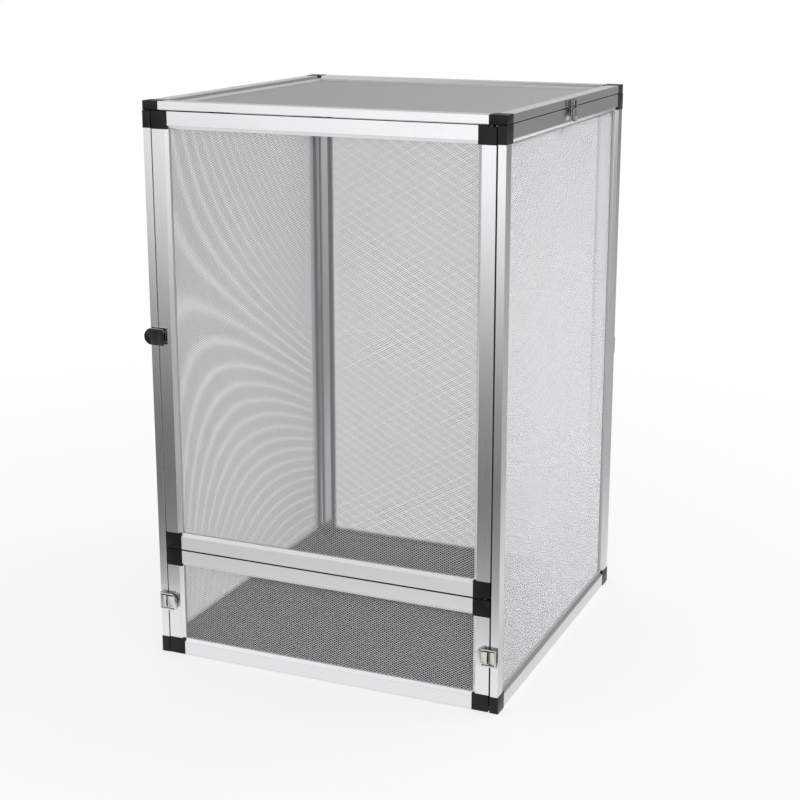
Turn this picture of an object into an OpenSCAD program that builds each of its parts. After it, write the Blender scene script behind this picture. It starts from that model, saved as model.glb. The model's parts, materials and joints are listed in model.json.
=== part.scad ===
// Upright cage for reptiles: six framed mesh panels on a dark floor board.
// X runs along the front to the right, Y runs to the back, Z is up.
// The origin is on the ground, in the middle of the cage.

/* [Cage] */
// Width across the two side panels
cage_w = 430; // [300:1:600]
// Depth from the doors to the back panel
cage_d = 430; // [300:1:600]
// Height with the lid on
cage_h = 660; // [450:1:900]
// Height of the drop-down lower door
lower_door_h = 132.5; // [100:0.5:200]

/* [Frame profile] */
// Face width of a rail, and side of a square corner block
rail_w = 20; // [19:0.5:26]
// Thickness of a panel from its outer to its inner face
rail_t = 10; // [9.5:0.5:13]
// Wall of the hollow rail
rail_wall = 1.2; // [0.8:0.1:1.6]
// How far a rail lies below the faces of its corner blocks
rail_inset = 0.4; // [0.2:0.1:0.8]
// Width of the slanted lip beside the mesh
lip_w = 4; // [3.5:0.25:5]
// Drop of the slanted lip towards the mesh
lip_drop = 3; // [1.5:0.25:3.5]
// Depth of the recess for the edge of mesh and spline
slot_d = 3.2; // [2:0.2:3.4]
// Length of a corner key inside a rail
key_l = 18; // [10:1:28]

/* [Mesh] */
// Thickness of the mesh sheet
mesh_t = 0.8; // [0.5:0.1:1]
// Thickness of the spline that holds the mesh from behind
spline_t = 1.6; // [1.2:0.1:2]
// How far the spline reaches past the rail
spline_over = 1.25; // [1:0.25:4]
// Width of a strand of the drawn net
strand_w = 5; // [3:0.5:8]
// Pitch of the drawn net across a panel
net_pitch_a = 190; // [120:1:240]
// Pitch of the drawn net up a panel
net_pitch_b = 92; // [50:1:130]

/* [Gaps] */
// Gap between a door and a side panel
side_gap = 1.2; // [1:0.1:2]
// Gap between the two doors, and between upper door and lid
door_gap = 1; // [0.8:0.1:2]
// Gap under the lower door
foot_gap = 1; // [0.8:0.1:2]
// Gap where a fixed or lift-off panel seats on its neighbours
seat_gap = 0.3; // [0.1:0.1:0.6]

/* [Hinges] */
// Radius of the upper door's pivot pins
pivot_r = 1.2; // [0.8:0.1:1.4]
// Distance of the pivot from the hinged edge of the upper door
pivot_in = 6; // [5:0.25:8]
// Distance of the pivot behind the face of the upper door
pivot_back = 2.5; // [2.2:0.1:3]
// Thickness of the pivot brackets
bracket_t = 1.2; // [0.8:0.1:2]
// Radius of the lower door's hinge pins
hinge_r = 1.5; // [1:0.1:2]
// Height of those pins above the bottom of the lower door
hinge_up = 5; // [4.5:0.25:6]
// Distance of those pins behind the face of the lower door
hinge_back = 3; // [2.7:0.1:3]
// Radial running clearance of a pin in its bore
pin_fit = 0.05; // [0.02:0.01:0.08]

/* [Floor] */
// Thickness of the floor board
board_t = 3; // [2:0.5:6]
// Height of the toes that the floor board lies on
toe_h = 2; // [1.5:0.5:4]

/* [Latches] */
// Width of a latch across its bail
latch_w = 21; // [19:0.5:26]
// Length of a lever from the seam to the start of its finger end
lever_l = 10; // [9:0.25:11]
// Length of the round finger end
finger_l = 6.2; // [5:0.2:7]
// Outward slope of the finger end in degrees
finger_slope = 12; // [0:1:20]
// Width of the bar of a bail
bail_bar = 1.8; // [1.4:0.1:2.2]
// Height of the bar of a bail
bail_h = 2.2; // [1.8:0.1:2.6]
// Radius of a lever's pin
latch_pin_r = 0.8; // [0.6:0.05:0.9]

/* [Hidden] */
$fn = 48;
// Sides of small round ends and edges other than pins and bores
facets = 12;
// Steps of the round finger end
finger_steps = 10;

// Colours
alloy = "silver";
chrome = "gainsboro";
black = "#26272a";
steel = "slategray";

// One overrun for all cuts
over = 1;

// Panel sizes, each as width and height
wall_h = cage_h - rail_t - seat_gap;
back_w = cage_w - 2 * (rail_t + seat_gap);
door_w = cage_w - 2 * (rail_t + side_gap);
upper_z = foot_gap + lower_door_h + door_gap;
upper_h = wall_h + seat_gap - door_gap - upper_z;
side_size = [cage_d, wall_h];
back_size = [back_w, wall_h];
upper_size = [door_w, upper_h];
lower_size = [door_w, lower_door_h];
lid_size = [cage_w, cage_d];

// Rail profile: recess for mesh and spline, cavity for the corner keys
mesh_fit = 0.1;
slot_w = mesh_t + 2 * mesh_fit;
slot_t = rail_t - rail_inset - spline_t - slot_w;
lip_step = 0.3;
cavity_end = rail_w - max(lip_w, slot_d) - rail_wall / 2;
key_fit = 0.1;
corner_r = 1.5;

// Upper door pivots
bracket_w = 6;
bracket_leg = 14;
bracket_pad = 8;
bracket_fit = 0.3;
bracket_gap = 1;
pivot_l = 6;
pivot_x = door_w / 2 - pivot_in;
notch_d = bracket_t + bracket_fit;
inner_x = cage_w / 2 - rail_t;
inner_y = cage_d / 2 - rail_t;

// Lower door pins
hinge_in = 8;
hinge_out = 6;
press_fit = 0.02;

// Floor board and the toes under it
toe_l = 6;
toe_w = 7;
board_front_gap = 2.5;

// Latch parts, measured from the seam and from the face they sit on
plate_t = 0.6;
lever_t = 1.2;
bail_gap = 1.4;
lever_w = latch_w - 2 * (bail_bar + bail_gap);
flange_t = 1.2;
ear_gap = 0.3;
ear_t = 1.2;
ear_wall = 0.2;
ear_r = latch_pin_r + ear_wall;
flange_wall = 0.48;
flange_r = latch_pin_r + flange_wall;
pin_w = plate_t + ear_gap + flange_r;
lever_under = pin_w + ear_r + ear_gap;
heel = 1;
lever_pin_u = 2.6;
base_short = 0.6;
flange_low = pin_w - latch_pin_r;
bail_pin_u = 7;
bail_pin_r = 0.7;
bail_eye_r = 1.7;
bail_sink = 0.55;
bail_pin_w = lever_under - bail_sink;
seam_edge = 0.4;
bail_reach = rail_t - rail_inset - seam_edge;
bar_gap = 0.3;
keeper_near = 1;
cell_d = 0.5;
cell_rim = 1.4;
finger_in = 1;
finger_half = latch_w / 2 - finger_in;
finger_r = (finger_half * finger_half + finger_l * finger_l) / (2 * finger_l);
finger_turn = atan2(finger_half, finger_r - finger_l);
catch_h = lever_under;
lid_catch_h = bail_pin_w - bail_h / 2 - bar_gap;
hasp_pin_u = -(bail_reach - flange_r);
hasp_w = 19.2;
hasp_flange_share = 0.45;
stud_w = 6.6;
stud_gap = 0.5;

// Seams and heights that the latches are set on
door_seam = door_w / 2 + side_gap / 2;
back_seam = back_w / 2 + seat_gap / 2;
lid_seam = wall_h + seat_gap / 2;
upper_mid = upper_z + upper_h / 2;
lower_mid = foot_gap + lower_door_h / 2;
wall_mid = wall_h / 2;

// Places a panel drawn with its outer face at y = 0 and its foot at z = 0
module on_left() translate([-cage_w / 2, 0, 0]) rotate([0, 0, -90]) children();
module on_right() translate([cage_w / 2, 0, 0]) rotate([0, 0, 90]) children();
module on_back() translate([0, cage_d / 2, 0]) rotate([0, 0, 180]) children();
module on_upper() translate([0, -cage_d / 2, upper_z]) children();
module on_lower() translate([0, -cage_d / 2, foot_gap]) children();
module on_lid() translate([0, -cage_d / 2, cage_h]) rotate([-90, 0, 0]) children();

// Cross-section of a rail: x from the outer edge inwards, y from the outer face
module rail_section() {
    low = rail_inset;
    deep = rail_t - rail_inset;
    lip_u = rail_w - lip_w;
    lip_y = low + lip_step;
    difference() {
        polygon([
            [low, low], [lip_u, low], [lip_u, lip_y], [rail_w, lip_y + lip_drop],
            [rail_w, slot_t], [rail_w - slot_d, slot_t], [rail_w - slot_d, deep], [low, deep]]);
        translate([low + rail_wall, low + rail_wall])
            square([cavity_end - low - rail_wall, deep - low - 2 * rail_wall]);
    }
}

// The four rails of a panel of the given width and height
module left_stile(size) translate([-size[0] / 2, 0, rail_w])
    linear_extrude(size[1] - 2 * rail_w) rail_section();
module right_stile(size) mirror([1, 0, 0]) left_stile(size);
module bottom_rail(size) translate([size[0] / 2 - rail_w, 0, 0]) rotate([0, -90, 0])
    linear_extrude(size[0] - 2 * rail_w) rail_section();
module top_rail(size) translate([0, 0, size[1]]) mirror([0, 0, 1]) bottom_rail(size);

// Key that fills the cavity of a rail, along x from the corner block
module corner_key() {
    low = rail_inset + rail_wall + key_fit;
    translate([rail_w - corner_r, low, low])
        cube([key_l + corner_r, rail_t - 2 * low, cavity_end - key_fit - low]);
}

// Corner block with its two keys, its outer corner at x = 0 and z = 0
module corner_block() {
    translate([0, rail_t, 0]) rotate([90, 0, 0]) linear_extrude(rail_t) {
        translate([corner_r, 0]) square([rail_w - corner_r, rail_w]);
        translate([0, corner_r]) square([rail_w, rail_w - corner_r]);
        translate([corner_r, corner_r]) circle(corner_r, $fn = facets);
    }
    corner_key();
    mirror([1, 0, -1]) corner_key();
}

// Puts a corner block at the left or right (-1 or 1) and bottom or top (0 or 1)
module at_corner(size, side, top) translate([side * size[0] / 2, 0, top * size[1]])
    mirror([side > 0 ? 1 : 0, 0, 0]) mirror([0, 0, top]) children();
module corners(size) for (side = [-1, 1], top = [0, 1]) at_corner(size, side, top) corner_block();

// Outline of what lies in the recesses of the four rails, clear of the corner blocks
module sheet_outline(size) {
    clear_a = size[0] - 2 * rail_w;
    clear_b = size[1] - 2 * rail_w;
    hold = slot_d - mesh_fit;
    square([clear_a + 2 * hold, clear_b - 2 * mesh_fit], center = true);
    square([clear_a - 2 * mesh_fit, clear_b + 2 * hold], center = true);
}

// Mesh of a panel: a flat net of diamonds whose edges reach into the recesses
module net(size) {
    clear_a = size[0] - 2 * rail_w;
    clear_b = size[1] - 2 * rail_w;
    count_a = max(1, round(clear_a / net_pitch_a));
    count_b = max(1, round(clear_b / net_pitch_b));
    pitch_a = clear_a / count_a;
    pitch_b = clear_b / count_b;
    slope = norm([pitch_a, pitch_b]);
    half_a = pitch_a / 2 - strand_w / 2 * slope / pitch_b;
    half_b = pitch_b / 2 - strand_w / 2 * slope / pitch_a;
    hole = [[half_a, 0], [0, half_b], [-half_a, 0], [0, -half_b]];
    translate([0, slot_t + mesh_fit + mesh_t, size[1] / 2]) rotate([90, 0, 0]) linear_extrude(mesh_t)
        difference() {
            sheet_outline(size);
            intersection() {
                square([clear_a - strand_w, clear_b - strand_w], center = true);
                for (row = [0, 1], i = [0:count_a - 1 + row], j = [0:count_b - 1 + row])
                    translate([(i + (1 - row) / 2) * pitch_a - clear_a / 2,
                        (j + (1 - row) / 2) * pitch_b - clear_b / 2]) polygon(hole);
            }
        }
}

// Spline of a panel: a frame of black cord behind the edges of the mesh
module spline(size) translate([0, rail_t - rail_inset, size[1] / 2]) rotate([90, 0, 0])
    linear_extrude(spline_t) difference() {
        sheet_outline(size);
        square([size[0] - 2 * (rail_w + spline_over), size[1] - 2 * (rail_w + spline_over)], center = true);
    }

// Toe under the floor board, on the inner face of a corner block
module toe() translate([rail_w - toe_w, rail_t - corner_r, 0]) cube([toe_w, toe_l + corner_r, toe_h]);

// Bore for the lower door's pin, from the inner face of a side panel's corner block
module side_pin_bore() translate([hinge_back, rail_t - hinge_out, foot_gap + hinge_up]) rotate([-90, 0, 0])
    cylinder(r = hinge_r + press_fit, h = hinge_out + over);

// Corner blocks of a side panel, whose front edge is at the left (-1) or right (1)
module side_corners(front) difference() {
    union() {
        corners(side_size);
        for (side = [-1, 1]) at_corner(side_size, side, 0) toe();
    }
    at_corner(side_size, front, 0) side_pin_bore();
}

// Left panel
module left_top_rail() color(alloy) on_left() top_rail(side_size);
module left_bottom_rail() color(alloy) on_left() bottom_rail(side_size);
module left_front_stile() color(alloy) on_left() right_stile(side_size);
module left_back_stile() color(alloy) on_left() left_stile(side_size);
module left_mesh() color(alloy) on_left() net(side_size);

// Right panel
module right_top_rail() color(alloy) on_right() top_rail(side_size);
module right_bottom_rail() color(alloy) on_right() bottom_rail(side_size);
module right_front_stile() color(alloy) on_right() left_stile(side_size);
module right_back_stile() color(alloy) on_right() right_stile(side_size);
module right_mesh() color(alloy) on_right() net(side_size);

// Back panel
module back_top_rail() color(alloy) on_back() top_rail(back_size);
module back_bottom_rail() color(alloy) on_back() bottom_rail(back_size);
module back_left_stile() color(alloy) on_back() right_stile(back_size);
module back_right_stile() color(alloy) on_back() left_stile(back_size);
module back_mesh() color(alloy) on_back() net(back_size);

// Corner blocks and splines of the three fixed panels
module wall_corners() color(black) {
    on_left() side_corners(1);
    on_right() side_corners(-1);
    on_back() corners(back_size);
}
module wall_splines() color(black) {
    on_left() spline(side_size);
    on_right() spline(side_size);
    on_back() spline(back_size);
}

// Upper door, with a notch and a bore for a pivot in each corner block of its hinged edge
module pivot_cut() translate([0, 0, -over]) {
    translate([-over, -over, 0])
        cube([pivot_in + bracket_w / 2 + bracket_fit + over, rail_t + 2 * over, notch_d + over]);
    translate([pivot_in, pivot_back, 0])
        cylinder(r = pivot_r + pin_fit, h = bracket_t + pivot_l + 2 * over);
}
module upper_door_top_rail() color(alloy) on_upper() top_rail(upper_size);
module upper_door_bottom_rail() color(alloy) on_upper() bottom_rail(upper_size);
module upper_door_left_stile() color(alloy) on_upper() left_stile(upper_size);
module upper_door_right_stile() color(alloy) on_upper() right_stile(upper_size);
module upper_door_corners() color(black) on_upper() difference() {
    corners(upper_size);
    for (top = [0, 1]) at_corner(upper_size, 1, top) pivot_cut();
}
module upper_door_mesh() color(alloy) on_upper() net(upper_size);
module upper_door_spline() color(black) on_upper() spline(upper_size);

// Lower door, with a bore for its pin in each bottom corner block
module lower_pin_bore() translate([-over, hinge_back, hinge_up]) rotate([0, 90, 0])
    cylinder(r = hinge_r + pin_fit, h = hinge_in + 2 * over);
module lower_door_top_rail() color(alloy) on_lower() top_rail(lower_size);
module lower_door_bottom_rail() color(alloy) on_lower() bottom_rail(lower_size);
module lower_door_left_stile() color(alloy) on_lower() left_stile(lower_size);
module lower_door_right_stile() color(alloy) on_lower() right_stile(lower_size);
module lower_door_corners() color(black) on_lower() difference() {
    corners(lower_size);
    for (side = [-1, 1]) at_corner(lower_size, side, 0) lower_pin_bore();
}
module lower_door_mesh() color(alloy) on_lower() net(lower_size);
module lower_door_spline() color(black) on_lower() spline(lower_size);

// Lid
module lid_front_rail() color(alloy) on_lid() bottom_rail(lid_size);
module lid_back_rail() color(alloy) on_lid() top_rail(lid_size);
module lid_left_rail() color(alloy) on_lid() left_stile(lid_size);
module lid_right_rail() color(alloy) on_lid() right_stile(lid_size);
module lid_corners() color(black) on_lid() corners(lid_size);
module lid_mesh() color(alloy) on_lid() net(lid_size);
module lid_spline() color(black) on_lid() spline(lid_size);

// Floor board, on the toes of the side panels
module floor_board() color("dimgray") {
    board_w = 2 * (inner_x - seat_gap);
    board_d = 2 * inner_y - board_front_gap - seat_gap;
    translate([-board_w / 2, board_front_gap - inner_y, toe_h]) cube([board_w, board_d, board_t]);
}

// Pivot bracket of the upper door: arm with pin, and a leg of the given offset on the side panel
module pivot_bracket(leg_offset) {
    back = inner_y - bracket_gap;
    front = cage_d / 2 - pivot_back;
    leg_x = inner_x + leg_offset;
    linear_extrude(bracket_t) {
        translate([pivot_x, -front]) circle(bracket_w / 2, $fn = facets);
        translate([pivot_x - bracket_w / 2, -front]) square([bracket_w, front - back + bracket_pad]);
        translate([pivot_x - bracket_w / 2, -back])
            square([leg_x - pivot_x + bracket_w / 2, bracket_pad]);
    }
    translate([leg_x - bracket_t, -back, 0]) cube([bracket_t, bracket_pad, bracket_leg]);
    translate([pivot_x, -front, 0]) cylinder(r = pivot_r, h = bracket_t + pivot_l);
}
module pivot_brackets() color(steel) {
    translate([0, 0, upper_z]) pivot_bracket(rail_inset);
    translate([0, 0, upper_z + upper_h]) mirror([0, 0, 1]) pivot_bracket(0);
}

// Pins of the lower door, pressed into the side panels
module lower_door_pins() color(steel) for (side = [-1, 1])
    translate([side * (door_w / 2 - hinge_in), hinge_back - cage_d / 2, foot_gap + hinge_up])
        rotate([0, side * 90, 0]) cylinder(r = hinge_r, h = hinge_in + side_gap + hinge_out);

// Latch frames: x from the seam to the finger end, y across, z out of the face
module at_front(seam, side, height) translate([side * seam, rail_inset - cage_d / 2, height])
    rotate([90, 0, 0]) rotate([0, 0, side > 0 ? 180 : 0]) children();
module at_back(side, height) rotate([0, 0, 180]) at_front(back_seam, -side, height) children();
module at_lid(side) translate([side * (cage_w / 2 - rail_inset), 0, lid_seam])
    rotate([0, 0, side > 0 ? 0 : 180]) rotate([0, 90, 0]) children();
module at_hasp() translate([-door_seam, rail_inset - cage_d / 2, upper_mid])
    rotate([90, 0, 0]) rotate([0, 0, 180]) children();

// Block across a latch, centred on y
module across(from, to, width, low, high) translate([from, -width / 2, low])
    cube([to - from, width, high - low]);

// Ears on a base plate, each with a pin that carries a lever
module lever_ears(pin_u) {
    ear_out = lever_w / 2 - flange_t - ear_gap;
    for (side = [0, 1]) mirror([0, side, 0]) translate([pin_u, ear_out, 0]) {
        translate([0, 0, pin_w]) rotate([90, 0, 0]) cylinder(r = ear_r, h = ear_t, $fn = facets);
        translate([-ear_r, -ear_t, 0]) cube([2 * ear_r, ear_t, pin_w]);
        translate([0, ear_gap + flange_t, pin_w]) rotate([90, 0, 0])
            cylinder(r = latch_pin_r, h = ear_gap + flange_t + ear_t / 2);
    }
}

// Flanges of a lever, bored for its pin and reaching as far as the given place
module lever_flanges(pin_u, reach) for (side = [0, 1]) mirror([0, side, 0]) difference() {
    translate([0, lever_w / 2 - flange_t, 0]) {
        translate([pin_u, flange_t, pin_w]) rotate([90, 0, 0])
            cylinder(r = flange_r, h = flange_t, $fn = facets);
        translate([pin_u, 0, flange_low]) cube([reach - pin_u, flange_t, lever_under - flange_low]);
        translate([pin_u - heel, 0, pin_w]) cube([heel, flange_t, lever_under - pin_w]);
    }
    translate([pin_u, lever_w / 2 + over, pin_w]) rotate([90, 0, 0])
        cylinder(r = latch_pin_r + pin_fit, h = flange_t + 2 * over);
}

// Round finger end of a lever, sloping outwards
module finger_end() translate([lever_l, 0, lever_under]) rotate([0, -finger_slope, 0])
    linear_extrude(lever_t) translate([finger_l - finger_r, 0])
        polygon([for (i = [0:finger_steps]) let (a = finger_turn * (2 * i / finger_steps - 1))
            finger_r * [cos(a), sin(a)]]);

// Plate of a lever, with shallow cells between the given places
module lever_plate(from, width, cells) difference() {
    across(from, lever_l, width, lever_under, lever_under + lever_t);
    for (cell = cells)
        across(cell[0], cell[1], width - 2 * cell_rim, lever_under + lever_t - cell_d,
            lever_under + lever_t + over);
}

// Toggle latch: base, lever, bail and keeper
module latch_base() {
    across(lever_pin_u - flange_r, lever_l - base_short, lever_w - 2 * (flange_t + ear_gap), 0, plate_t);
    lever_ears(lever_pin_u);
}
module latch_lever() {
    from = lever_pin_u - heel;
    lever_plate(from, lever_w, [[from + cell_rim, lever_l - cell_rim]]);
    lever_flanges(lever_pin_u, bail_pin_u + bail_pin_r + flange_t / 2);
    finger_end();
    for (side = [0, 1]) mirror([0, side, 0])
        translate([bail_pin_u, latch_w / 2 - bar_gap, bail_pin_w]) rotate([90, 0, 0])
            cylinder(r = bail_pin_r, h = latch_w / 2 - bar_gap - lever_w / 2 + flange_t / 2);
}
module latch_bail() {
    low = bail_pin_w - bail_h / 2;
    difference() {
        union() {
            across(-bail_reach, bail_pin_u, latch_w, low, low + bail_h);
            translate([bail_pin_u, latch_w / 2, bail_pin_w]) rotate([90, 0, 0])
                cylinder(r = bail_eye_r, h = latch_w, $fn = facets);
        }
        across(bail_bar - bail_reach, bail_pin_u + bail_eye_r + over, latch_w - 2 * bail_bar,
            low - over, low + bail_h + over);
        translate([bail_pin_u, latch_w / 2 + over, bail_pin_w]) rotate([90, 0, 0])
            cylinder(r = bail_pin_r + pin_fit, h = latch_w + 2 * over);
    }
}
module latch_keeper(high) difference() {
    far = bail_reach - bail_bar - bar_gap;
    across(-far, -keeper_near, lever_w, 0, high);
    across(cell_rim - far, -keeper_near - cell_rim, lever_w - 2 * cell_rim, high - cell_d, high + over);
}

// Hasp of the upper door: base on the door, lever across the seam, keeper on the side panel
module door_hasp_base() color(black) at_hasp() {
    across(hasp_pin_u - flange_r, -keeper_near, lever_w - 2 * (flange_t + ear_gap), 0, plate_t);
    lever_ears(hasp_pin_u);
}
module door_hasp_lever() color(black) at_hasp() {
    from = hasp_pin_u - heel;
    lever_plate(from, hasp_w, [[from + cell_rim, -cell_rim / 2], [cell_rim / 2, lever_l - cell_rim]]);
    lever_flanges(hasp_pin_u, hasp_pin_u * hasp_flange_share);
    finger_end();
}
module door_hasp_keeper() color(black) at_hasp() {
    far = bail_reach - bar_gap;
    across(keeper_near, far, lever_w, 0, plate_t);
    across(keeper_near + cell_rim, far - cell_rim, stud_w, 0, lever_under - stud_gap);
}

// Latches of the lower door, with keepers on the side panels
module lower_door_latch_bases() color(chrome) for (side = [-1, 1])
    at_front(door_seam, side, lower_mid) latch_base();
module lower_left_latch_lever() color(chrome) at_front(door_seam, -1, lower_mid) latch_lever();
module lower_left_latch_bail() color(chrome) at_front(door_seam, -1, lower_mid) latch_bail();
module lower_right_latch_lever() color(chrome) at_front(door_seam, 1, lower_mid) latch_lever();
module lower_right_latch_bail() color(chrome) at_front(door_seam, 1, lower_mid) latch_bail();

// Latches of the lid on the side panels, with low keepers on the lid
module lid_left_latch_lever() color(chrome) at_lid(-1) latch_lever();
module lid_left_latch_bail() color(chrome) at_lid(-1) latch_bail();
module lid_right_latch_lever() color(chrome) at_lid(1) latch_lever();
module lid_right_latch_bail() color(chrome) at_lid(1) latch_bail();
module lid_latch_keepers() color(chrome) for (side = [-1, 1]) at_lid(side) latch_keeper(lid_catch_h);

// Latches of the back panel, with keepers on the side panels
module back_left_latch_lever() color(chrome) at_back(-1, wall_mid) latch_lever();
module back_left_latch_bail() color(chrome) at_back(-1, wall_mid) latch_bail();
module back_right_latch_lever() color(chrome) at_back(1, wall_mid) latch_lever();
module back_right_latch_bail() color(chrome) at_back(1, wall_mid) latch_bail();

// Bases and keepers that are fixed to the walls
module wall_latch_bases() color(chrome) for (side = [-1, 1]) {
    at_lid(side) latch_base();
    at_back(side, wall_mid) latch_base();
}
module wall_latch_keepers() color(chrome) for (side = [-1, 1]) {
    at_front(door_seam, side, lower_mid) latch_keeper(catch_h);
    at_back(side, wall_mid) latch_keeper(catch_h);
}

left_top_rail();
left_bottom_rail();
left_front_stile();
left_back_stile();
right_top_rail();
right_bottom_rail();
right_front_stile();
right_back_stile();
back_top_rail();
back_bottom_rail();
back_left_stile();
back_right_stile();
upper_door_top_rail();
upper_door_bottom_rail();
upper_door_left_stile();
upper_door_right_stile();
lower_door_top_rail();
lower_door_bottom_rail();
lower_door_left_stile();
lower_door_right_stile();
lid_front_rail();
lid_back_rail();
lid_left_rail();
lid_right_rail();
wall_corners();
upper_door_corners();
lower_door_corners();
lid_corners();
left_mesh();
right_mesh();
back_mesh();
upper_door_mesh();
lower_door_mesh();
lid_mesh();
wall_splines();
upper_door_spline();
lower_door_spline();
lid_spline();
floor_board();
pivot_brackets();
lower_door_pins();
door_hasp_base();
door_hasp_lever();
door_hasp_keeper();
lower_door_latch_bases();
lower_left_latch_lever();
lower_left_latch_bail();
lower_right_latch_lever();
lower_right_latch_bail();
wall_latch_bases();
wall_latch_keepers();
lid_left_latch_lever();
lid_left_latch_bail();
lid_right_latch_lever();
lid_right_latch_bail();
lid_latch_keepers();
back_left_latch_lever();
back_left_latch_bail();
back_right_latch_lever();
back_right_latch_bail();
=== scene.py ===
import json
import math

import bmesh
import bpy
from mathutils import Matrix, Vector

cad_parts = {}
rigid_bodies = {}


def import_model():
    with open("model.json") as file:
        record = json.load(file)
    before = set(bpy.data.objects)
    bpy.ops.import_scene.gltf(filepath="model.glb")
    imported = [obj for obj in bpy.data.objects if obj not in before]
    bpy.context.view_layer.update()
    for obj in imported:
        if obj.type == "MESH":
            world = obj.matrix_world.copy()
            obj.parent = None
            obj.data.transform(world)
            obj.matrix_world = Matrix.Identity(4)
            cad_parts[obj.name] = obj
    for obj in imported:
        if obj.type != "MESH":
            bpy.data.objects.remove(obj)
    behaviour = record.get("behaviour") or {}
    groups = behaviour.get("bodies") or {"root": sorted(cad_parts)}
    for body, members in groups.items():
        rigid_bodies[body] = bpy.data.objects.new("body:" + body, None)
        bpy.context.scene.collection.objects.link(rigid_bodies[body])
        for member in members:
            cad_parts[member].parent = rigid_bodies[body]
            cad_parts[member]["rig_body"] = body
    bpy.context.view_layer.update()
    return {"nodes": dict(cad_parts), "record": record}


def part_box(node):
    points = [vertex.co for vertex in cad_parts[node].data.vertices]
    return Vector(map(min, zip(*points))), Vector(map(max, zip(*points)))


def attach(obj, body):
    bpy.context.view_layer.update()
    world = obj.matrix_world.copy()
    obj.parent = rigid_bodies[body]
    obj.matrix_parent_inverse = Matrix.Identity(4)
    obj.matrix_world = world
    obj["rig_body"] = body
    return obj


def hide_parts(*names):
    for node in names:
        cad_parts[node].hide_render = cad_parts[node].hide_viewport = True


mm = 0.001
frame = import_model()


class Wire:  # a socket that can stand in a formula
    def __init__(self, desk, socket):
        self.desk = desk
        self.socket = socket

    def math(self, operation, a, b=0.0):
        return self.desk.add("ShaderNodeMath", {"operation": operation}, {0: a, 1: b})

    def __add__(self, other):
        return self.math("ADD", self, other)

    def __radd__(self, other):
        return self.math("ADD", other, self)

    def __sub__(self, other):
        return self.math("SUBTRACT", self, other)

    def __rsub__(self, other):
        return self.math("SUBTRACT", other, self)

    def __mul__(self, other):
        return self.math("MULTIPLY", self, other)

    def __rmul__(self, other):
        return self.math("MULTIPLY", other, self)

    def __truediv__(self, other):
        return self.math("DIVIDE", self, other)

    def __rtruediv__(self, other):
        return self.math("DIVIDE", other, self)

    def __gt__(self, other):
        return self.math("GREATER_THAN", self, other)

    def upTo(self, other):
        return self.math("MINIMUM", self, other)

    def atLeast(self, other):
        return self.math("MAXIMUM", self, other)

    def rise(self, start, end):  # from 0 at the start to 1 at the end, and level beyond both
        return ((self - start) / (end - start)).atLeast(0.0).upTo(1.0)


class Desk:  # a node tree, and the one way to put nodes on it
    def __init__(self, tree):
        self.tree = tree

    def add(self, kind, settings=None, inputs=None, out=0):
        node = self.tree.nodes.new(kind)
        for key, value in (settings or {}).items():
            if key == "stops":
                ramp = node.color_ramp.elements
                while len(ramp) < len(value):
                    ramp.new(1.0)
                for stop, (place, grey) in zip(ramp, value):
                    stop.position = place
                    stop.color = (grey, grey, grey, 1.0)
            else:
                setattr(node, key, value)
        for key, value in (inputs or {}).items():
            if isinstance(value, Wire):
                self.tree.links.new(value.socket, node.inputs[key])
            else:
                node.inputs[key].default_value = value
        return Wire(self, node.outputs[out]) if len(node.outputs) else node


def newMaterial(name):
    material = bpy.data.materials.new(name)
    material.use_nodes = True
    material.node_tree.nodes.clear()
    return material, Desk(material.node_tree)


def principled(desk, **sockets):
    values = {key.replace("_", " "): value for key, value in sockets.items()}
    shader = desk.add("ShaderNodeBsdfPrincipled", None, values)
    desk.add("ShaderNodeOutputMaterial", None, {"Surface": shader})


noise = {"roughness": 0.6, "middle": 0.5}


def grain(desk, stretch, scale, detail):  # noise on the piece's own coordinates, drawn out along an axis
    place = desk.add("ShaderNodeTexCoord", out="Object")
    place = desk.add("ShaderNodeMapping", None, {"Vector": place, "Scale": stretch})
    inputs = {"Vector": place, "Scale": scale, "Detail": detail, "Roughness": noise["roughness"]}
    return desk.add("ShaderNodeTexNoise", None, inputs)


def swing(spread, specks):  # up and down about nothing, as the grain is above or below its middle
    return spread * (specks - noise["middle"])


def tint(desk, low, high, factor):  # colour between two others
    return desk.add("ShaderNodeMix", {"data_type": "RGBA"}, {0: factor, 6: low, 7: high}, out=2)


def relief(desk, height, depth, strength):
    return desk.add("ShaderNodeBump", None, {"Height": height, "Distance": depth, "Strength": strength})


# Finishes: two colours with a grain between them, roughness with its spread, scale and detail of each grain,
# and depth and strength of the relief
even = (1, 1, 1)  # a grain that isn't drawn out
anodised = {"low": (0.88, 0.885, 0.895, 1), "high": (0.92, 0.925, 0.935, 1), "rough": 0.20, "pale": 0.3,
            "lines": (900.0, 4.0), "lineSpread": 0.08, "haze": (14.0, 2.0), "hazeSpread": 0.06,
            "relief": (0.00001, 0.3)}
drawn = {"x": (0.012, 1, 1), "y": (1, 0.012, 1), "z": (1, 1, 0.012)}  # extrusion lines run along the rail


def makeAnodised(axis, name="anodised_", metallic=1.0):
    material, desk = newMaterial(name + axis)
    lines = grain(desk, drawn[axis], *anodised["lines"])
    haze = grain(desk, even, *anodised["haze"])
    uneven = swing(anodised["lineSpread"], lines) + swing(anodised["hazeSpread"], haze)
    principled(
        desk,
        Base_Color=tint(desk, anodised["low"], anodised["high"], lines),
        Metallic=metallic,
        Roughness=anodised["rough"] + uneven,
        Normal=relief(desk, lines, *anodised["relief"]),
    )
    return material


cornerPlastic = {"low": (0.004, 0.004, 0.005, 1), "high": (0.009, 0.009, 0.010, 1), "gloss": 0.3, "rough": 0.34,
                 "spread": 0.16, "pores": (2600.0, 2.0), "cloud": (60.0, 3.0), "relief": (0.00004, 0.4)}


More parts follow.
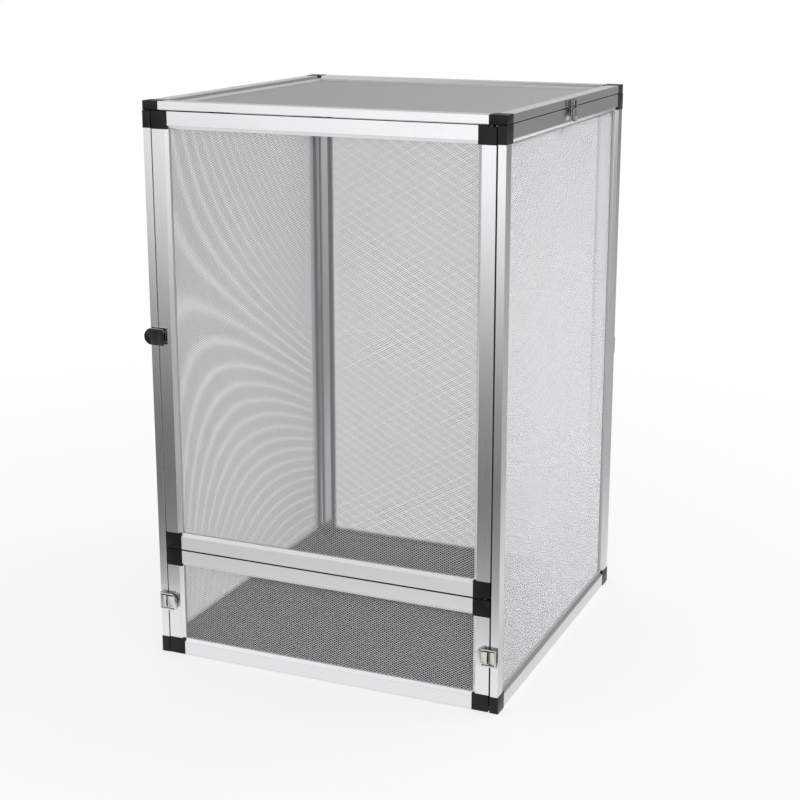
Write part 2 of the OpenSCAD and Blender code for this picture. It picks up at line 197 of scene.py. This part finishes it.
def makeCornerPlastic():
    material, desk = newMaterial("corner_plastic")
    pores = grain(desk, even, *cornerPlastic["pores"])
    cloud = grain(desk, even, *cornerPlastic["cloud"])
    principled(
        desk,
        Base_Color=tint(desk, cornerPlastic["low"], cornerPlastic["high"], cloud),
        Specular_IOR_Level=cornerPlastic["gloss"],
        Roughness=cornerPlastic["rough"] + swing(cornerPlastic["spread"], cloud),
        Normal=relief(desk, pores, *cornerPlastic["relief"]),
    )
    return material


darkBoard = {"low": (0.014, 0.0145, 0.0155, 1), "high": (0.026, 0.0265, 0.028, 1), "gloss": 0.3, "rough": 0.50,
             "spread": 0.2, "fleck": (700.0, 5.0), "fleckShare": 0.6, "cloud": (9.0, 3.0), "relief": (0.0002, 0.3)}


def makeBoard():
    material, desk = newMaterial("dark_board")
    fleck = grain(desk, even, *darkBoard["fleck"])
    cloud = grain(desk, even, *darkBoard["cloud"])
    blend = darkBoard["fleckShare"] * fleck + (1 - darkBoard["fleckShare"]) * cloud
    principled(
        desk,
        Base_Color=tint(desk, darkBoard["low"], darkBoard["high"], blend),
        Specular_IOR_Level=darkBoard["gloss"],
        Roughness=darkBoard["rough"] + swing(darkBoard["spread"], fleck),
        Normal=relief(desk, fleck, *darkBoard["relief"]),
    )
    return material


meshMetal = {"low": (0.67, 0.675, 0.685, 1), "high": (0.79, 0.795, 0.805, 1), "metallic": 1.0, "rough": 0.40,
             "spread": 0.2, "grain": (260.0, 3.0)}
brightPlate = {"low": (0.74, 0.73, 0.70, 1), "high": (0.82, 0.81, 0.79, 1), "metallic": 1.0, "rough": 0.17,
               "spread": 0.10, "grain": (180.0, 4.0)}
blackLacquer = {"low": (0.07, 0.07, 0.073, 1), "high": (0.12, 0.12, 0.124, 1), "metallic": 1.0, "rough": 0.24,
                "spread": 0.16, "grain": (220.0, 4.0), "relief": (0.00003, 0.3)}
plainSteel = {"low": (0.42, 0.42, 0.43, 1), "high": (0.52, 0.52, 0.53, 1), "metallic": 1.0, "rough": 0.36,
              "spread": 0.16, "grain": (800.0, 3.0), "stretch": (1, 1, 0.05)}
softRubber = {"low": (0.006, 0.006, 0.006, 1), "high": (0.014, 0.014, 0.014, 1), "metallic": 0.0, "gloss": 0.25,
              "rough": 0.62, "spread": 0.2, "grain": (1800.0, 3.0), "relief": (0.00005, 0.4)}
paintedSeamShade = {"low": (0.04, 0.04, 0.041, 1), "high": (0.08, 0.08, 0.082, 1), "metallic": 0.0, "gloss": 0.2,
            "rough": 0.7, "spread": 0.2, "grain": (300.0, 3.0)}  # painted shade: the edge faces that face a gap, dull and dark, standing for the shade inside the gap
mattWall = {"low": (0.70, 0.705, 0.715, 1), "high": (0.78, 0.785, 0.795, 1), "metallic": 0.55, "rough": 0.55,
            "spread": 0.2, "grain": (500.0, 3.0)}  # the narrow wall between lip and mesh, not brushed


def makeGrained(name, look):  # a finish whose colour, roughness and relief all follow one grain
    material, desk = newMaterial(name)
    specks = grain(desk, look.get("stretch", even), *look["grain"])
    sockets = {
        "Base_Color": tint(desk, look["low"], look["high"], specks),
        "Metallic": look["metallic"],
        "Roughness": look["rough"] + swing(look["spread"], specks),
    }
    if "gloss" in look:
        sockets["Specular_IOR_Level"] = look["gloss"]
    if "relief" in look:
        sockets["Normal"] = relief(desk, specks, *look["relief"])
    principled(desk, **sockets)
    return material


railFinish = {axis: makeAnodised(axis) for axis in drawn}
paleFinish = makeAnodised("x", "pale_", anodised["pale"])  # level lines scatter the light up and down
wallFinish = makeGrained("matt_wall", mattWall)
# painted shade for the faces inside the gaps and on the latch plates' sides
seamShadeFinish = makeGrained("seam_edge", paintedSeamShade)
finish = {
    "mesh": makeGrained("mesh_metal", meshMetal),
    "corner_plastic": makeCornerPlastic(),
    "bright_latch": makeGrained("bright_plate", brightPlate),
    "black_latch": makeGrained("black_lacquer", blackLacquer),
    "floor_board": makeBoard(),
    "spline": makeGrained("soft_black_rubber", softRubber),
    "steel": makeGrained("plain_steel", plainSteel),
}
slots = {part["node"]: part["material_slot"] for part in frame["record"]["subparts"]}
print("finishes:", len([*finish.values(), *railFinish.values(), paleFinish, wallFinish, seamShadeFinish]))


def plainMesh(holder):  # what the modifiers make, as a mesh of its own
    bpy.context.view_layer.update()
    mesh = bpy.data.meshes.new_from_object(holder.evaluated_get(bpy.context.evaluated_depsgraph_get()))
    spare = holder.data
    bpy.data.objects.remove(holder)
    bpy.data.meshes.remove(spare)
    return mesh


def newPiece(node, name, mesh, *materials):  # a piece that stands for one node, and moves with its body
    piece = bpy.data.objects.new(name, mesh)
    bpy.context.scene.collection.objects.link(piece)
    kept = [face.material_index for face in mesh.polygons]
    mesh.materials.clear()
    for material in materials:
        mesh.materials.append(material)
    mesh.polygons.foreach_set("material_index", [min(index, len(materials) - 1) for index in kept])
    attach(piece, frame["nodes"][node]["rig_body"])
    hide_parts(node)
    return piece


# Panels: direction across, up and out of each one, and its rails with the direction from the outer edge inwards
sideRails = {"top_rail": (0, 0, -1), "bottom_rail": (0, 0, 1), "front_stile": (0, 1, 0), "back_stile": (0, -1, 0)}
faceRails = {"top_rail": (0, 0, -1), "bottom_rail": (0, 0, 1), "left_stile": (1, 0, 0), "right_stile": (-1, 0, 0)}
lidRails = {"front_rail": (0, 1, 0), "back_rail": (0, -1, 0), "left_rail": (1, 0, 0), "right_rail": (-1, 0, 0)}
panels = {
    "left": {"across": (0, -1, 0), "up": (0, 0, 1), "out": (-1, 0, 0), "rails": sideRails},
    "right": {"across": (0, 1, 0), "up": (0, 0, 1), "out": (1, 0, 0), "rails": sideRails},
    "back": {"across": (-1, 0, 0), "up": (0, 0, 1), "out": (0, 1, 0), "rails": faceRails},
    "upper_door": {"across": (1, 0, 0), "up": (0, 0, 1), "out": (0, -1, 0), "rails": faceRails},
    "lower_door": {"across": (1, 0, 0), "up": (0, 0, 1), "out": (0, -1, 0), "rails": faceRails},
    "lid": {"across": (1, 0, 0), "up": (0, 1, 0), "out": (0, 0, 1), "rails": lidRails},
}

# Rails: profile in mm, from the outer edge inwards and from the outer face down
rail = {"inset": 0.4, "flush": 0.05, "seat": 0.25, "width": 20.0, "thick": 10.0, "edge": 0.4,
        "lipStart": 16.0, "lipStep": 0.35, "lipDrop": 3.0, "stepShare": 0.6, "slotTop": 7.0, "slotIn": 16.8,
        "wideSeams": ("upper_door_bottom_rail", "lower_door_top_rail"), "shutSeams": ("left_front_stile",),
        "edgeSteps": 4, "stepSteps": 3, "merge": 0.001, "sharp": 40, "facing": 0.9}


def roundCorner(corner, before, after, radius, steps):  # arc in place of a square corner of the profile
    a = corner + radius * (before - corner).normalized()
    b = corner + radius * (after - corner).normalized()
    shares = [i / steps for i in range(steps + 1)]
    return [(1 - t) ** 2 * a + 2 * t * (1 - t) * corner + t ** 2 * b for t in shares]


def railProfile(node, seam, seat):  # edges at a narrow seam lie flush with the corner blocks
    low, width, edge = rail["inset"], rail["width"], (rail["edge"], rail["edgeSteps"])
    side = rail["flush"] if seam and node not in rail["wideSeams"] else low
    deep = rail["thick"] - (rail["seat"] if seat else rail["flush"] if node in rail["shutSeams"] else low)
    outerFace, outerBack = Vector((side, low)), Vector((side, deep))
    faceEnd = Vector((rail["lipStart"], low))
    stepFoot = faceEnd + Vector((0, rail["lipStep"]))
    lipEnd = Vector((width, stepFoot.y + rail["lipDrop"]))
    ledge, slotTop = Vector((width, rail["slotTop"])), Vector((rail["slotIn"], rail["slotTop"]))
    innerBack = Vector((rail["slotIn"], deep))
    points = roundCorner(outerFace, outerBack, faceEnd, *edge)
    points += roundCorner(faceEnd, outerFace, stepFoot, rail["stepShare"] * rail["lipStep"], rail["stepSteps"])
    points += [stepFoot] + roundCorner(lipEnd, stepFoot, ledge, *edge) + [ledge, slotTop]
    points += roundCorner(innerBack, slotTop, outerBack, *edge)
    points += roundCorner(outerBack, innerBack, outerFace, *edge)
    return points


def makeRail(panelName, railName, inwards, out):
    node = panelName + "_" + railName
    seam, seat = panelName.endswith("door"), panelName == "lid"
    low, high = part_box(node)
    inwards, out = Vector(inwards), Vector(out)
    run = max(range(3), key=lambda i: high[i] - low[i])
    corner = Vector([high[i] if inwards[i] < 0 or out[i] > 0 else low[i] for i in range(3)])
    corner += rail["inset"] * mm * (out - inwards)  # the profile is drawn from the corner block's faces
    corner[run] = low[run]
    length = Vector((0, 0, 0))
    length[run] = high[run] - low[run]
    shape = bmesh.new()
    near = [shape.verts.new(corner + mm * (p.x * inwards - p.y * out)) for p in railProfile(node, seam, seat)]
    far = [shape.verts.new(v.co + length) for v in near]
    shape.faces.new(near)
    shape.faces.new(far)
    for i in range(len(near)):
        shape.faces.new((near[i - 1], near[i], far[i], far[i - 1]))
    bmesh.ops.remove_doubles(shape, verts=shape.verts, dist=rail["merge"] * mm)
    bmesh.ops.recalc_face_normals(shape, faces=shape.faces)
    paintedShadeEdge = seam and railName != "left_stile"  # the left seam is nearly shut, so it gets no painted shade
    for face in shape.faces:
        face.smooth = True
        inwardShare, outShare = face.normal.dot(inwards), face.normal.dot(out)
        if (paintedShadeEdge and inwardShare < -rail["facing"]) or (seat and outShare < -rail["facing"]):
            face.material_index = 1  # painted shade: the inside of a seam, and the lid's underside, coloured dark
        elif inwardShare > rail["facing"]:
            face.material_index = 2
    mesh = bpy.data.meshes.new(node + "-rail")
    shape.to_mesh(mesh)
    shape.free()
    holder = bpy.data.objects.new(node + "-rail", mesh)
    bpy.context.scene.collection.objects.link(holder)
    flat = holder.modifiers.new("flat faces", "WEIGHTED_NORMAL")
    flat.keep_sharp = True
    mesh.set_sharp_from_angle(angle=math.radians(rail["sharp"]))
    main = paleFinish if node in rail["wideSeams"] else railFinish["xyz"[run]]
    return newPiece(node, node + "-rail", plainMesh(holder), main, seamShadeFinish, wallFinish)


railCount = 0
for panelName, panel in panels.items():
    for railName, inwards in panel["rails"].items():
        makeRail(panelName, railName, inwards, panel["out"])
        railCount += 1
print("rails:", railCount)


# Mesh sheets: two rows of straight strands that cross at the cell's slope
sheet = {"cellWidth": 4.84, "cellHeight": 2.79, "strandWidth": 0.50, "strandDepth": 0.88, "strandSides": 6,
         "edge": 0.4}


def strandTree():
    tree = bpy.data.node_groups.new("diamondSheet", "GeometryNodeTree")
    tree.interface.new_socket("Geometry", in_out="OUTPUT", socket_type="NodeSocketGeometry")
    for label in ("Width", "Height", "Cell Width", "Cell Height", "Strand Width", "Strand Depth"):
        tree.interface.new_socket(label, in_out="INPUT", socket_type="NodeSocketFloat")
    tree.interface.new_socket("Finish", in_out="INPUT", socket_type="NodeSocketMaterial")
    desk = Desk(tree)
    given = tree.nodes.new("NodeGroupInput")
    wires = [Wire(desk, socket) for socket in given.outputs[:-1]]  # the last one is Blender's empty place
    width, height, cellWidth, cellHeight, strandWidth, strandDepth, look = wires
    slope = width.math("ARCTAN2", cellHeight, cellWidth)
    sine, cosine = slope.math("SINE", slope), slope.math("COSINE", slope)
    pitch = cellWidth * sine  # between neighbouring strands
    count = width.math("CEIL", (width * sine + height * cosine) / pitch)
    offset = (desk.add("GeometryNodeInputIndex") - (count - 1) / 2) * pitch
    unit = {"Vertices": sheet["strandSides"], "Radius": 0.5, "Depth": 1.0}  # one wide and long, to be scaled
    prism = desk.add("GeometryNodeMeshCylinder", None, unit)
    prism = desk.add("GeometryNodeTransform", None, {"Geometry": prism, "Rotation": (0, math.pi / 2, 0)})
    rows = []
    for lean in (1, -1):
        start = (lean * offset * sine / cosine - width / (2 * cosine)).atLeast(
            -1 * (lean * offset * cosine / sine) - height / (2 * sine))
        end = (lean * offset * sine / cosine + width / (2 * cosine)).upTo(
            height / (2 * sine) - lean * offset * cosine / sine)
        length, middle = end - start, (start + end) / 2
        place = desk.add("ShaderNodeCombineXYZ", None, {
            "X": middle * cosine - lean * offset * sine, "Y": offset * cosine + lean * middle * sine})
        turn = desk.add("ShaderNodeCombineXYZ", None, {"Z": lean * slope})
        size = desk.add("ShaderNodeCombineXYZ", None, {"X": length, "Y": strandWidth, "Z": strandDepth})
        points = desk.add("GeometryNodePoints", None, {"Count": count, "Position": place})
        rows.append(desk.add("GeometryNodeInstanceOnPoints", None, {
            "Points": points, "Selection": length > strandWidth, "Instance": prism,
            "Rotation": turn, "Scale": size}))
    joined = desk.tree.nodes.new("GeometryNodeJoinGeometry")
    for row in rows:
        tree.links.new(row.socket, joined.inputs[0])
    whole = desk.add("GeometryNodeRealizeInstances", None, {"Geometry": Wire(desk, joined.outputs[0])})
    whole = desk.add("GeometryNodeSetMaterial", None, {"Geometry": whole, "Material": look})
    tree.links.new(whole.socket, tree.nodes.new("NodeGroupOutput").inputs[0])
    return tree


diamondSheet = strandTree()


def makeSheet(panelName, panel):
    node = panelName + "_mesh"
    low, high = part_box(node)
    across, up, out = (Vector(panel[key]) for key in ("across", "up", "out"))
    size, edges = high - low, 2 * sheet["edge"] * mm
    values = {
        "Width": abs(size.dot(across)) - edges, "Height": abs(size.dot(up)) - edges,
        "Cell Width": sheet["cellWidth"] * mm, "Cell Height": sheet["cellHeight"] * mm,
        "Strand Width": sheet["strandWidth"] * mm, "Strand Depth": sheet["strandDepth"] * mm,
        "Finish": finish["mesh"],
    }
    holder = bpy.data.objects.new(node + "-grow", bpy.data.meshes.new(node + "-grow"))
    bpy.context.scene.collection.objects.link(holder)
    grow = holder.modifiers.new("grow", "NODES")
    grow.node_group = diamondSheet
    for item in diamondSheet.interface.items_tree:
        if item.in_out == "INPUT":
            grow[item.identifier] = values[item.name]
    mesh = plainMesh(holder)
    turn = Matrix((across, up, out)).transposed().to_4x4()
    mesh.transform(Matrix.Translation((low + high) / 2) @ turn)
    newPiece(node, node + "-strands", mesh, finish["mesh"])
    return len(mesh.polygons)


print("mesh faces:", {name: makeSheet(name, panel) for name, panel in panels.items()})


# Splines: a round black rubber loop behind the mesh's edges, half sunk in the rails that hide it from outside
spline = {"radius": 2.3, "inwards": 16.4, "down": 9.0, "bend": 4.0, "sides": 14, "steps": 5}


def makeSpline(panelName, panel):
    across, up, out = (Vector(panel[key]) for key in ("across", "up", "out"))
    ends = [end for railName in panel["rails"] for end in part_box(panelName + "_" + railName)]

    def span(direction):
        reach = [end.dot(direction) for end in ends]
        return min(reach) - rail["inset"] * mm, max(reach) + rail["inset"] * mm

    radius, bend = spline["radius"] * mm, spline["bend"] * mm
    margin = spline["inwards"] * mm + bend
    (left, right), (bottom, top) = span(across), span(up)
    level = out * (span(out)[1] - spline["down"] * mm)
    centres = [(right - margin, top - margin), (left + margin, top - margin),
               (left + margin, bottom + margin), (right - margin, bottom + margin)]
    around = [2 * math.pi * i / spline["sides"] for i in range(spline["sides"])]
    shape = bmesh.new()
    rings = []
    for quarter, (x, y) in enumerate(centres):
        for step in range(spline["steps"] + 1):
            turn = math.pi / 2 * (quarter + step / spline["steps"])
            spoke = math.cos(turn) * across + math.sin(turn) * up
            middle = x * across + y * up + level
            ring = [(bend + radius * math.cos(a)) * spoke + radius * math.sin(a) * out for a in around]
            rings.append([shape.verts.new(middle + point) for point in ring])
    for i, ring in enumerate(rings):
        for j in range(len(ring)):
            shape.faces.new((rings[i - 1][j - 1], rings[i - 1][j], ring[j], ring[j - 1]))
    bmesh.ops.recalc_face_normals(shape, faces=shape.faces)
    name = panelName + "_spline"
    mesh = bpy.data.meshes.new(name + "-loop")
    shape.to_mesh(mesh)
    shape.free()
    mesh.shade_smooth()
    newPiece(name if name in slots else "wall_splines", name + "-loop", mesh, finish["spline"])


for panelName, panel in panels.items():
    makeSpline(panelName, panel)
print("splines:", len(panels))


# Moulded and pressed pieces: the node's own shape with rounded edges, by width in mm and steps
softEdge = {"corner_plastic": (0.7, 3), "bright_latch": (0.16, 2), "black_latch": (0.2, 2), "steel": (0.12, 2),
            "floor_board": (0.4, 2)}
soften = {"merge": 0.002, "flat": 1, "corner": 40, "paintedShadeSide": 0.3, "paintedSheenTop": 0.6, "sideLatch": 0.1}


def makeSoftened(node):
    width, steps = softEdge[slots[node]]
    mesh = frame["nodes"][node].data.copy()
    shape = bmesh.new()
    shape.from_mesh(mesh)
    bmesh.ops.remove_doubles(shape, verts=shape.verts, dist=soften["merge"] * mm)
    flat = math.radians(soften["flat"])
    bmesh.ops.dissolve_limit(shape, angle_limit=flat, verts=shape.verts, edges=shape.edges)
    shape.to_mesh(mesh)
    shape.free()
    holder = bpy.data.objects.new(node + "-soften", mesh)
    bpy.context.scene.collection.objects.link(holder)
    bevel = holder.modifiers.new("edges", "BEVEL")
    bevel.width = width * mm
    bevel.segments = steps
    bevel.limit_method = "ANGLE"
    bevel.angle_limit = math.radians(soften["corner"])
    bevel.harden_normals = True
    mesh.shade_smooth()
    result = plainMesh(holder)
    looks = [finish[slots[node]]]
    if slots[node] == "bright_latch":  # painted shade: the sideways faces of the pressed plates are coloured dark, standing for the shade in the gaps between them
        looks.append(seamShadeFinish)
        for face in result.polygons:
            out = 0 if abs(face.center.y) < soften["sideLatch"] else 1  # the lid's latches face sideways
            face.material_index = 1 if abs(face.normal[out]) < soften["paintedShadeSide"] else 0
    elif node.startswith("door_hasp"):  # painted highlight: the upward faces take the bright plate finish, standing for the light the black top catches
        looks.append(finish["bright_latch"])
        for face in result.polygons:
            face.material_index = 1 if face.normal.z > soften["paintedSheenTop"] else 0
    newPiece(node, node + "-soft", result, *looks)


softened = [node for node in slots if slots[node] in softEdge]
for node in softened:
    makeSoftened(node)
print("moulded and pressed pieces:", len(softened))

# Studio: the pairs are where a tone starts and stops rising, in metres on the floor and as a share of the
# heading in the sky
studio = {"floorSpan": 16.0, "sides": 64, "paper": (0.9, 0.9, 0.9, 1), "shadowShare": 0.3, "shadowReach": 1.6,
          "toneSpan": 8.0, "sideCounts": (0.6, 1.6), "strip": 0.85, "stripNear": (0.19, 0.22),
          "stripFar": (0.36, 0.42), "toFarRight": 1.05, "farRight": (2.0, 4.5), "inFront": (0.22, 0.28),
          "atRight": (0.21, 0.27)}
sky = {"level": 0.75, "back": 0.26, "horizon": 0.42, "front": 0.95, "upperFront": 0.68, "zenith": 0.10,
       "behind": (0.5, 0.75), "overhead": (0.9, 0.9625), "glowTop": (0.7 / 6, 1.7 / 6), "glowRight": (0.0, 0.25),
       "raised": (0.66, 0.76)}
soft = [  # place, aim, size and power of the soft boxes
    {"place": (1.8, 1.15, 1.8), "aim": (0.1, 0, 0.33), "size": 1.5, "power": 17},
    {"place": (1.2, -2.6, 2.2), "aim": (0, 0, 0.33), "size": 1.6, "power": 5},
]
# What polished metal sees of the floor, by share of the tone's span: in front of the cage, and to its right
frontTone = [(0.045, 0.75), (0.052, 0.69), (0.069, 0.40), (0.079, 0.30), (0.0925, 0.22), (0.12, 0.165),
             (0.15, 0.175), (0.19, 0.235), (0.264, 0.40), (0.361, 0.63), (0.5, 0.92), (0.9, 1.15)]
rightTone = [(0.032, 0.56), (0.045, 0.72), (0.065, 0.62), (0.1, 0.44), (0.4, 0.38), (0.8, 0.22)]
keySide = {"toward": (0.5, -0.87, 0.0), "gain": 1.95, "from": -1.1, "least": -0.5, "most": 0.2}


def lightPath(desk, *labels):
    path = desk.tree.nodes.new("ShaderNodeLightPath")
    return [Wire(desk, path.outputs[label]) for label in labels]


def vector(desk, operation, a, b=(0, 0, 0), out="Value"):
    return desk.add("ShaderNodeVectorMath", {"operation": operation}, {0: a, 1: b}, out=out)


def makeFloor():  # white with a faint shadow for the camera; metal sees it in the tones above
    material, desk = newMaterial("studio_floor")
    camera, glossy = lightPath(desk, "Is Camera Ray", "Is Glossy Ray")
    place = desk.add("ShaderNodeTexCoord", out="Object")
    reach = vector(desk, "LENGTH", place)
    heading = vector(desk, "NORMALIZE", place, out="Vector")
    toKey = vector(desk, "DOT_PRODUCT", heading, keySide["toward"])
    toRight = vector(desk, "DOT_PRODUCT", place, (1, 0, 0))
    toFront = vector(desk, "DOT_PRODUCT", place, (0, -1, 0))
    front = desk.add("ShaderNodeValToRGB", {"stops": frontTone}, {"Fac": reach / studio["toneSpan"]})
    beside = desk.add("ShaderNodeValToRGB", {"stops": rightTone}, {"Fac": reach / studio["toneSpan"]})
    gain = (keySide["gain"] * toKey + keySide["from"]).atLeast(keySide["least"]).upTo(keySide["most"])
    gain = 1 + gain * reach.rise(*studio["sideCounts"])  # only farther out does the side make a difference
    strip = studio["strip"] * (1 - toFront.rise(*studio["stripFar"])) * toFront.rise(*studio["stripNear"])
    ahead = toFront.rise(*studio["inFront"]) * reach.rise(*studio["farRight"])
    right = beside + ahead * (studio["toFarRight"] - beside)
    turn = toRight.rise(*studio["atRight"])
    tone = turn * right + (1 - turn) * (front * gain).atLeast(strip)
    mirrored = desk.add("ShaderNodeEmission", None, {"Color": tone})
    paper = desk.add("ShaderNodeBsdfDiffuse", None, {"Color": studio["paper"]})
    white = desk.add("ShaderNodeEmission", None, {"Color": (1, 1, 1, 1)})
    share = studio["shadowShare"] * (1 - reach / studio["shadowReach"]).atLeast(0.0)  # the shadow fades away
    seen = desk.add("ShaderNodeMixShader", None, {"Fac": camera * (1 - share), 1: paper, 2: white})
    seen = desk.add("ShaderNodeMixShader", None, {"Fac": glossy, 1: seen, 2: mirrored})
    desk.add("ShaderNodeOutputMaterial", None, {"Surface": seen})
    mesh = bpy.data.meshes.new("studio_floor")
    shape = bmesh.new()
    bmesh.ops.create_circle(shape, cap_ends=True, segments=studio["sides"], radius=studio["floorSpan"] / 2)
    shape.to_mesh(mesh)
    shape.free()
    mesh.materials.append(material)
    floor = bpy.data.objects.new("studio_floor", mesh)
    bpy.context.scene.collection.objects.link(floor)


def makeSky():  # white for the camera; metal sees it white in front, grey behind and dark right overhead
    world = bpy.data.worlds.new("studio_sky")
    bpy.context.scene.world = world
    world.use_nodes = True
    world.node_tree.nodes.clear()
    desk = Desk(world.node_tree)
    camera, glossy, through = lightPath(desk, "Is Camera Ray", "Is Glossy Ray", "Is Transmission Ray")
    heading = desk.add("ShaderNodeTexCoord", out="Generated")
    toBack = vector(desk, "DOT_PRODUCT", heading, (0, 1, 0))
    toTop = vector(desk, "DOT_PRODUCT", heading, (0, 0, 1))
    toRight = vector(desk, "DOT_PRODUCT", heading, (1, 0, 0))
    glow = sky["horizon"] * (1 - toTop.rise(*sky["glowTop"])) * (1 - toRight.rise(*sky["glowRight"]))
    grey = sky["back"] + glow
    ahead = sky["front"] - toTop.rise(*sky["raised"]) * (sky["front"] - sky["upperFront"])
    mirrored = ahead - toBack.rise(*sky["behind"]) * (ahead - grey)
    mirrored = mirrored - toTop.rise(*sky["overhead"]) * (mirrored - sky["zenith"])
    level = (camera + through).upTo(1.0)
    level = level + glossy * mirrored + (1 - (level + glossy).upTo(1.0)) * sky["level"]
    shine = desk.add("ShaderNodeBackground", None, {"Color": (1, 1, 1, 1), "Strength": level})
    desk.add("ShaderNodeOutputWorld", None, {"Surface": shine})


def makeLamp(number, lamp):
    data = bpy.data.lights.new(f"soft_box_{number}", "AREA")
    data.size = lamp["size"]
    data.energy = lamp["power"]
    box = bpy.data.objects.new(data.name, data)
    box.location = lamp["place"]
    box.rotation_euler = (Vector(lamp["aim"]) - Vector(lamp["place"])).to_track_quat("-Z", "Y").to_euler()
    bpy.context.scene.collection.objects.link(box)


makeFloor()
makeSky()
for number, lamp in enumerate(soft):
    makeLamp(number, lamp)
bpy.context.scene.view_settings.view_transform = "Standard"
print("studio: floor, sky and", len(soft), "soft boxes")

# Camera
view = {"place": (0.7613, -1.7574, 0.8193), "turn": 23.292, "dip": 14.213, "lens": 72.48, "sensor": 36.0,
        "shift": -0.05, "near": 0.05, "far": 60.0}
cameraData = bpy.data.cameras.new("photo_view")
cameraData.sensor_width = view["sensor"]
cameraData.lens = view["lens"]
cameraData.shift_y = view["shift"]
cameraData.clip_start, cameraData.clip_end = view["near"], view["far"]
camera = bpy.data.objects.new("photo_view", cameraData)
camera.location = view["place"]
camera.rotation_euler = (math.radians(90 - view["dip"]), 0, math.radians(view["turn"]))
bpy.context.scene.collection.objects.link(camera)
bpy.context.scene.camera = camera
